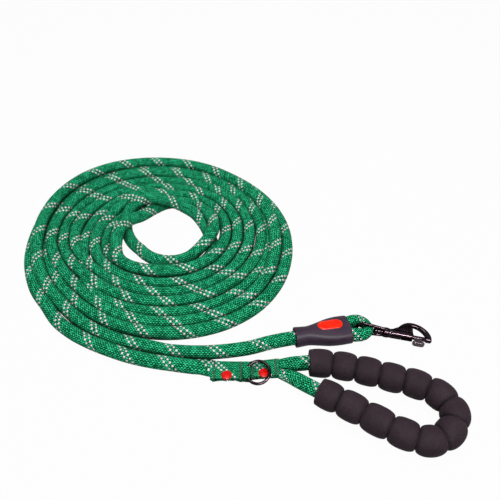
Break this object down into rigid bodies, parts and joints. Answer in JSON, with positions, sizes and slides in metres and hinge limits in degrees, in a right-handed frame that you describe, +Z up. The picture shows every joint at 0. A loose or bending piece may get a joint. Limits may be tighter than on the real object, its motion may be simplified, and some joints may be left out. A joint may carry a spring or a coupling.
{
  "type": "training leash",
  "caption": "Long round-rope training leash coiled flat, with a swivel snap hook in a flared sleeve and a looped handle with a lobed foam grip and a ring.",
  "frame": {"origin": "on the surface it lies on, midway along and across the handle and hook group", "axes": "+X from the strap towards the grip's far end, +Y towards the coil, +Z up"},
  "size_m": [0.419, 0.4009, 0.0255],
  "materials": {
    "rope": "braided green cord with light flecks",
    "braid": "flat green braid",
    "thread": "dark green thread",
    "sleeve": "charcoal, satin",
    "badge": "red, smooth and bare",
    "foam": "dark foam, matt",
    "dark_metal": "gunmetal, polished",
    "bolt": "dark bright plating",
    "zinc": "zinc plated",
    "rivet_red": "red enamel, bare"
  },
  "bodies": {
    "leash": {"rope_coil": "rope", "hook_lead": "rope", "handle_lead": "rope", "rope_eye": "rope", "hook_sleeve": "sleeve", "sleeve_badge": "badge", "eye_ferrule": "zinc", "handle_loop": "rope", "foam_grip": "foam", "keeper_band": "braid", "keeper_underlay": "braid", "rivet_caps": "rivet_red", "rivet_posts": "zinc", "rivet_backs": "zinc", "stitch_rows": "thread"},
    "link": {"swivel_bail": "dark_metal"},
    "hook": {"hook_body": "dark_metal", "swivel_stud": "dark_metal", "swivel_washer": "zinc", "gate_spring": "zinc"},
    "gate": {"gate_bolt": "bolt", "thumb_knob": "dark_metal"},
    "loose_ring": {"ring": "dark_metal"}
  },
  "joints": [
    {"name": "link_swing", "type": "hinge", "parent": "leash", "child": "link", "pos_m": [0.0346, 0.0576, 0.0097], "axis": [0.153, 0.9882, 0], "range_deg": [-50, 5]},
    {"name": "hook_swivel", "type": "hinge", "parent": "link", "child": "hook", "pos_m": [0.0518, 0.05494, 0.00787], "axis": [0.9828, -0.1521, -0.1045], "continuous": true},
    {"name": "gate_slide", "type": "slide", "parent": "hook", "child": "gate", "axis": [-0.9828, 0.1521, 0.1045], "range_m": [0, 0.01], "stiffness_N_per_m": 300, "springref_m": -0.005, "deforming": ["gate_spring"]},
    {"name": "ring_swing", "type": "hinge", "parent": "leash", "child": "loose_ring", "pos_m": [-0.077, 0.0107, 0.0067], "axis": [0, -0.9511, -0.309], "range_deg": [0, 120]}
  ]
}
